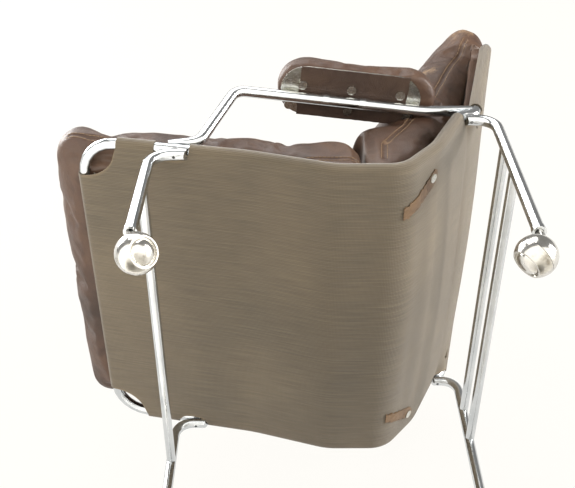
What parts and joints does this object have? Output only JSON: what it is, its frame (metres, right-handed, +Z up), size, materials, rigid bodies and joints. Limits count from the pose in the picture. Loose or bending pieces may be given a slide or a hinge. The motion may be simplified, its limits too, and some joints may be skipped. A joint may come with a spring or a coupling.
{
  "type": "lounge armchair on ball casters",
  "caption": "Tubular chrome lounge armchair with a canvas sling, leather seat and back cushions, padded arms and swivelling ball casters.",
  "frame": {"origin": "centre of the bounding box on the floor under the casters", "axes": "+Z up, the sitter faces -Y, +X is the left side of the sitter"},
  "size_m": [0.7334, 0.7713, 0.8298],
  "materials": {
    "chrome_tube": "polished chrome plate",
    "bolt_steel": "plain steel",
    "grey_washer": "matt grey fibre",
    "olive_canvas": "ribbed woven canvas",
    "brown_leather": "worn aniline leather",
    "pressed_steel": "plated pressing",
    "caster_chrome": "bright plated pressing, lightly dulled"
  },
  "bodies": {
    "chair": {"arm_clip_1_left": "chrome_tube", "arm_clip_1_right": "chrome_tube", "arm_clip_2_left": "chrome_tube", "arm_clip_2_right": "chrome_tube", "arm_flap_left": "brown_leather", "arm_flap_right": "brown_leather", "arm_pad_left": "brown_leather", "arm_pad_right": "brown_leather", "arm_plate_left": "pressed_steel", "arm_plate_right": "pressed_steel", "arm_tube_left": "chrome_tube", "arm_tube_right": "chrome_tube", "back_cushion": "brown_leather", "bolt_front_left": "bolt_steel", "bolt_front_right": "bolt_steel", "bolt_rear_left": "bolt_steel", "bolt_rear_right": "bolt_steel", "canvas_sling": "olive_canvas", "ferrule_front_left": "chrome_tube", "ferrule_front_right": "chrome_tube", "ferrule_rear_left": "chrome_tube", "ferrule_rear_right": "chrome_tube", "front_bow": "chrome_tube", "leg_front_left": "chrome_tube", "leg_front_right": "chrome_tube", "leg_rear_left": "chrome_tube", "leg_rear_right": "chrome_tube", "rod_front": "chrome_tube", "rod_rear_lower": "chrome_tube", "rod_rear_upper": "chrome_tube", "seat_cushion": "brown_leather", "side_rail_left": "chrome_tube", "side_rail_right": "chrome_tube", "strap_snap_left": "pressed_steel", "strap_snap_right": "pressed_steel", "strap_tab_left": "brown_leather", "strap_tab_right": "brown_leather", "top_bow": "chrome_tube", "washer_front_left": "grey_washer", "washer_front_right": "grey_washer", "washer_rear_left": "grey_washer", "washer_rear_right": "grey_washer"},
    "caster_front_left": {"caster_hood_front_left": "caster_chrome"},
    "wheel_front_left": {"caster_wheel_front_left": "caster_chrome"},
    "caster_front_right": {"caster_hood_front_right": "caster_chrome"},
    "wheel_front_right": {"caster_wheel_front_right": "caster_chrome"},
    "caster_rear_left": {"caster_hood_rear_left": "caster_chrome"},
    "wheel_rear_left": {"caster_wheel_rear_left": "caster_chrome"},
    "caster_rear_right": {"caster_hood_rear_right": "caster_chrome"},
    "wheel_rear_right": {"caster_wheel_rear_right": "caster_chrome"}
  },
  "joints": [
    {"name": "swivel_front_left", "type": "hinge", "parent": "chair", "child": "caster_front_left", "pos_m": [0.288, -0.208, 0.1], "axis": [0, 0, 1], "continuous": true},
    {"name": "roll_front_left", "type": "hinge", "parent": "caster_front_left", "child": "wheel_front_left", "pos_m": [0.29196, -0.19239, 0.0285], "axis": [0.5329, 0.6351, -0.5592], "continuous": true},
    {"name": "swivel_front_right", "type": "hinge", "parent": "chair", "child": "caster_front_right", "pos_m": [-0.288, -0.208, 0.1], "axis": [0, 0, 1], "continuous": true},
    {"name": "roll_front_right", "type": "hinge", "parent": "caster_front_right", "child": "wheel_front_right", "pos_m": [-0.29196, -0.19239, 0.0285], "axis": [-0.5329, 0.6351, -0.5592], "continuous": true},
    {"name": "swivel_rear_left", "type": "hinge", "parent": "chair", "child": "caster_rear_left", "pos_m": [0.288, 0.3335, 0.1], "axis": [0, 0, 1], "continuous": true},
    {"name": "roll_rear_left", "type": "hinge", "parent": "caster_rear_left", "child": "wheel_rear_left", "pos_m": [0.28822, 0.3174, 0.0285], "axis": [-0.3504, -0.7514, -0.5592], "continuous": true},
    {"name": "swivel_rear_right", "type": "hinge", "parent": "chair", "child": "caster_rear_right", "pos_m": [-0.288, 0.3335, 0.1], "axis": [0, 0, 1], "continuous": true},
    {"name": "roll_rear_right", "type": "hinge", "parent": "caster_rear_right", "child": "wheel_rear_right", "pos_m": [-0.28822, 0.3174, 0.0285], "axis": [0.3504, -0.7514, -0.5592], "continuous": true}
  ]
}
